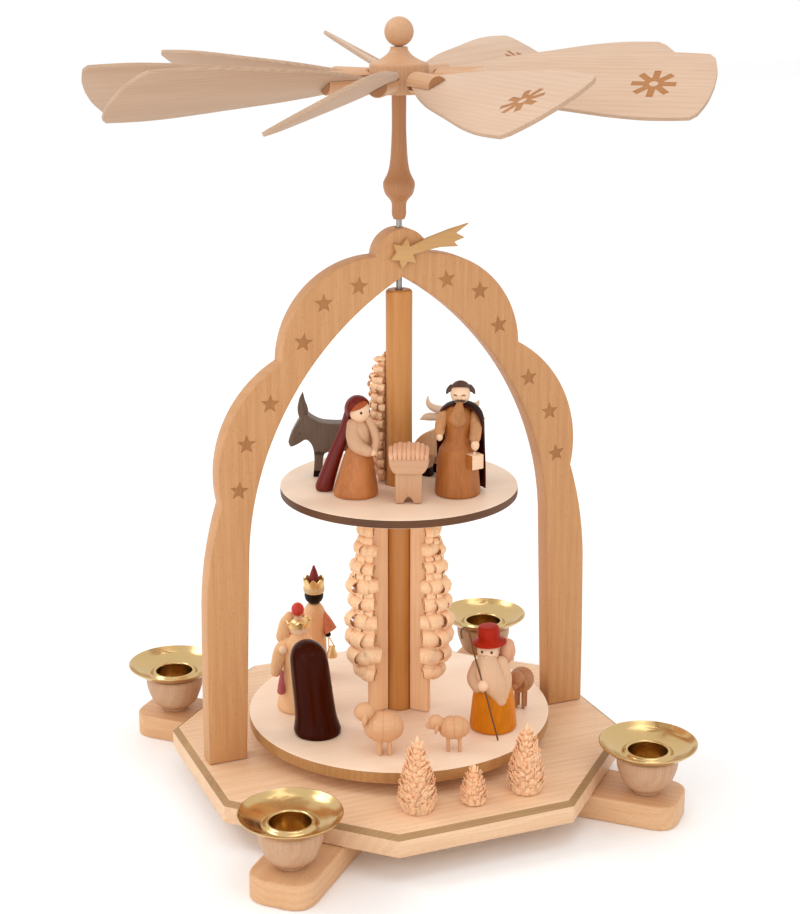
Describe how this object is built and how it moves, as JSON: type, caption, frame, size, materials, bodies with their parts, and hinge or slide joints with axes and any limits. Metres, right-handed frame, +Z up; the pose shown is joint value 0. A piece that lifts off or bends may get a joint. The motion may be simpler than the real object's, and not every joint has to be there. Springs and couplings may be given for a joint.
{
  "type": "candle carousel",
  "caption": "Wooden candle carousel: crossed foot with brass candle sockets, scalloped arch, turning decks of turned figures and a wheel of pitched paddles.",
  "frame": {"origin": "on the shaft's axis, on the underside of the crossed foot", "axes": "+Z up along the shaft, +X along the arch, -Y towards the side with the comet star"},
  "size_m": [0.2787, 0.2785, 0.3638],
  "materials": {
    "beech": "pale natural wood, sanded, satin",
    "maple": "pale fine-grained wood, satin",
    "pear": "reddish thin wood, satin",
    "oiled": "golden brown oiled wood",
    "brass": "polished, spun",
    "steel": "bright wire",
    "grey_stain": "wood stained grey-brown",
    "brown_stain": "wood stained brown",
    "dark_stain": "wood stained dark brown, glossy",
    "ochre_stain": "wood stained ochre",
    "straw": "pale shaved wood, raw"
  },
  "bodies": {
    "stand": {"foot_bar_long": "beech", "foot_bar_cross": "beech", "base_plate": "beech", "candle_cup_1": "beech", "candle_cup_2": "beech", "candle_cup_3": "beech", "candle_cup_4": "beech", "drip_tray_1": "brass", "drip_tray_2": "brass", "drip_tray_3": "brass", "drip_tray_4": "brass", "arch": "beech", "axle_bush": "brass", "pivot_bearing": "steel", "comet_star": "pear", "plate_tree_1": "straw", "plate_tree_2": "straw", "plate_tree_3": "straw"},
    "carousel": {"spindle": "steel", "shaft": "oiled", "lower_disc": "maple", "upper_disc": "maple", "lower_tree_left": "straw", "lower_tree_right": "straw", "upper_tree": "straw", "stem": "oiled", "hub": "beech", "finial_ball": "beech", "mother": "brown_stain", "father": "brown_stain", "crib": "straw", "donkey": "grey_stain", "ox": "maple", "king_cloaked": "dark_stain", "king_crowned": "maple", "king_dark": "maple", "shepherd": "ochre_stain", "shepherd_staff": "dark_stain", "lamb_left": "maple", "lamb_right": "maple", "sheep": "maple"},
    "paddle_1": {"blade_1": "maple", "blade_peg_1": "beech"},
    "paddle_2": {"blade_2": "maple", "blade_peg_2": "beech"},
    "paddle_3": {"blade_3": "maple", "blade_peg_3": "beech"},
    "paddle_4": {"blade_4": "maple", "blade_peg_4": "beech"},
    "paddle_5": {"blade_5": "maple", "blade_peg_5": "beech"},
    "paddle_6": {"blade_6": "maple", "blade_peg_6": "beech"},
    "paddle_7": {"blade_7": "maple", "blade_peg_7": "beech"},
    "paddle_8": {"blade_8": "maple", "blade_peg_8": "beech"},
    "paddle_9": {"blade_9": "maple", "blade_peg_9": "beech"}
  },
  "joints": [
    {"name": "carousel_turn", "type": "hinge", "parent": "stand", "child": "carousel", "pos_m": [0, 0, 0.3365], "axis": [0, 0, 1], "continuous": true},
    {"name": "paddle_1_pitch", "type": "hinge", "parent": "carousel", "child": "paddle_1", "pos_m": [0, 0, 0.3365], "axis": [0.0401, -0.9992, -0.0035], "range_deg": [-26, 32]},
    {"name": "paddle_2_pitch", "type": "hinge", "parent": "carousel", "child": "paddle_2", "pos_m": [0, 0, 0.3365], "axis": [0.729, -0.6845, 0.007], "range_deg": [-26, 32]},
    {"name": "paddle_3_pitch", "type": "hinge", "parent": "carousel", "child": "paddle_3", "pos_m": [0, 0, 0.3365], "axis": [0.9952, -0.0976, 0.0105], "range_deg": [-26, 32]},
    {"name": "paddle_4_pitch", "type": "hinge", "parent": "carousel", "child": "paddle_4", "pos_m": [0, 0, 0.3365], "axis": [0.8141, 0.5807, 0.0052], "range_deg": [-26, 32]},
    {"name": "paddle_5_pitch", "type": "hinge", "parent": "carousel", "child": "paddle_5", "pos_m": [0, 0, 0.3365], "axis": [0.2537, 0.9671, 0.0209], "range_deg": [-26, 32]},
    {"name": "paddle_6_pitch", "type": "hinge", "parent": "carousel", "child": "paddle_6", "pos_m": [0, 0, 0.3365], "axis": [-0.4383, 0.8986, -0.0209], "range_deg": [-26, 32]},
    {"name": "paddle_7_pitch", "type": "hinge", "parent": "carousel", "child": "paddle_7", "pos_m": [0, 0, 0.3365], "axis": [-0.9078, 0.4176, -0.0384], "range_deg": [-26, 32]},
    {"name": "paddle_8_pitch", "type": "hinge", "parent": "carousel", "child": "paddle_8", "pos_m": [0, 0, 0.3365], "axis": [-0.9744, -0.2249, -0.0052], "range_deg": [-26, 32]},
    {"name": "paddle_9_pitch", "type": "hinge", "parent": "carousel", "child": "paddle_9", "pos_m": [0, 0, 0.3365], "axis": [-0.5906, -0.807, 0.0035], "range_deg": [-26, 32]}
  ]
}
